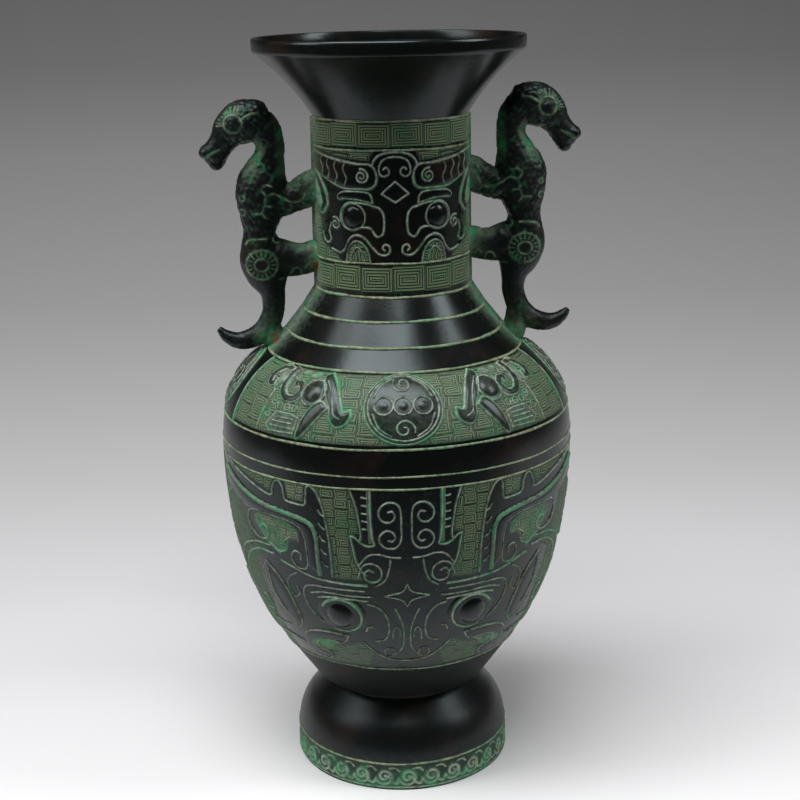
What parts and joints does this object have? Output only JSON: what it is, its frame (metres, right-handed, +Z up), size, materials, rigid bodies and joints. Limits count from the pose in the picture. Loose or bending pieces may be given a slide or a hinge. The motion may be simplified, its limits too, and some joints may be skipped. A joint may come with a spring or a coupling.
{
  "type": "bronze hu vase",
  "caption": "Archaistic cast bronze vase of hu form with a trumpet mouth, masked neck and belly, stepped shoulder, domed foot and beast handles; holds water and stems.",
  "frame": {"origin": "centre of the foot's flat underside", "axes": "+Z up the vase's axis, -Y towards the front of the masks, +X towards the right handle"},
  "size_m": [0.1806, 0.1728, 0.36],
  "materials": {
    "body_bronze": "brown-black patina, worn glossy on plain bands, green verdigris in the cast ornament",
    "handle_bronze": "brown-black patina with green verdigris in the hollows and engraved lines",
    "seam_braze": "pale yellow-green corroded braze",
    "bare_bronze": "dull as-cast bronze inside the vase"
  },
  "bodies": {
    "root": {"foot_ring": "body_bronze", "floor_plate": "body_bronze", "belly_bowl": "body_bronze", "shoulder_dome": "body_bronze", "neck_sleeve": "body_bronze", "mouth_flare": "body_bronze", "floor_braze": "seam_braze", "waist_seam_bead": "seam_braze", "belly_seam_bead": "seam_braze", "neck_seam_bead": "seam_braze", "mouth_seam_bead": "seam_braze", "left_saddle_pads": "seam_braze", "right_saddle_pads": "seam_braze", "left_beast_handle": "handle_bronze", "right_beast_handle": "handle_bronze", "left_tenon_washers": "bare_bronze", "right_tenon_washers": "bare_bronze", "left_tail_dowel": "bare_bronze", "right_tail_dowel": "bare_bronze"}
  },
  "joints": []
}
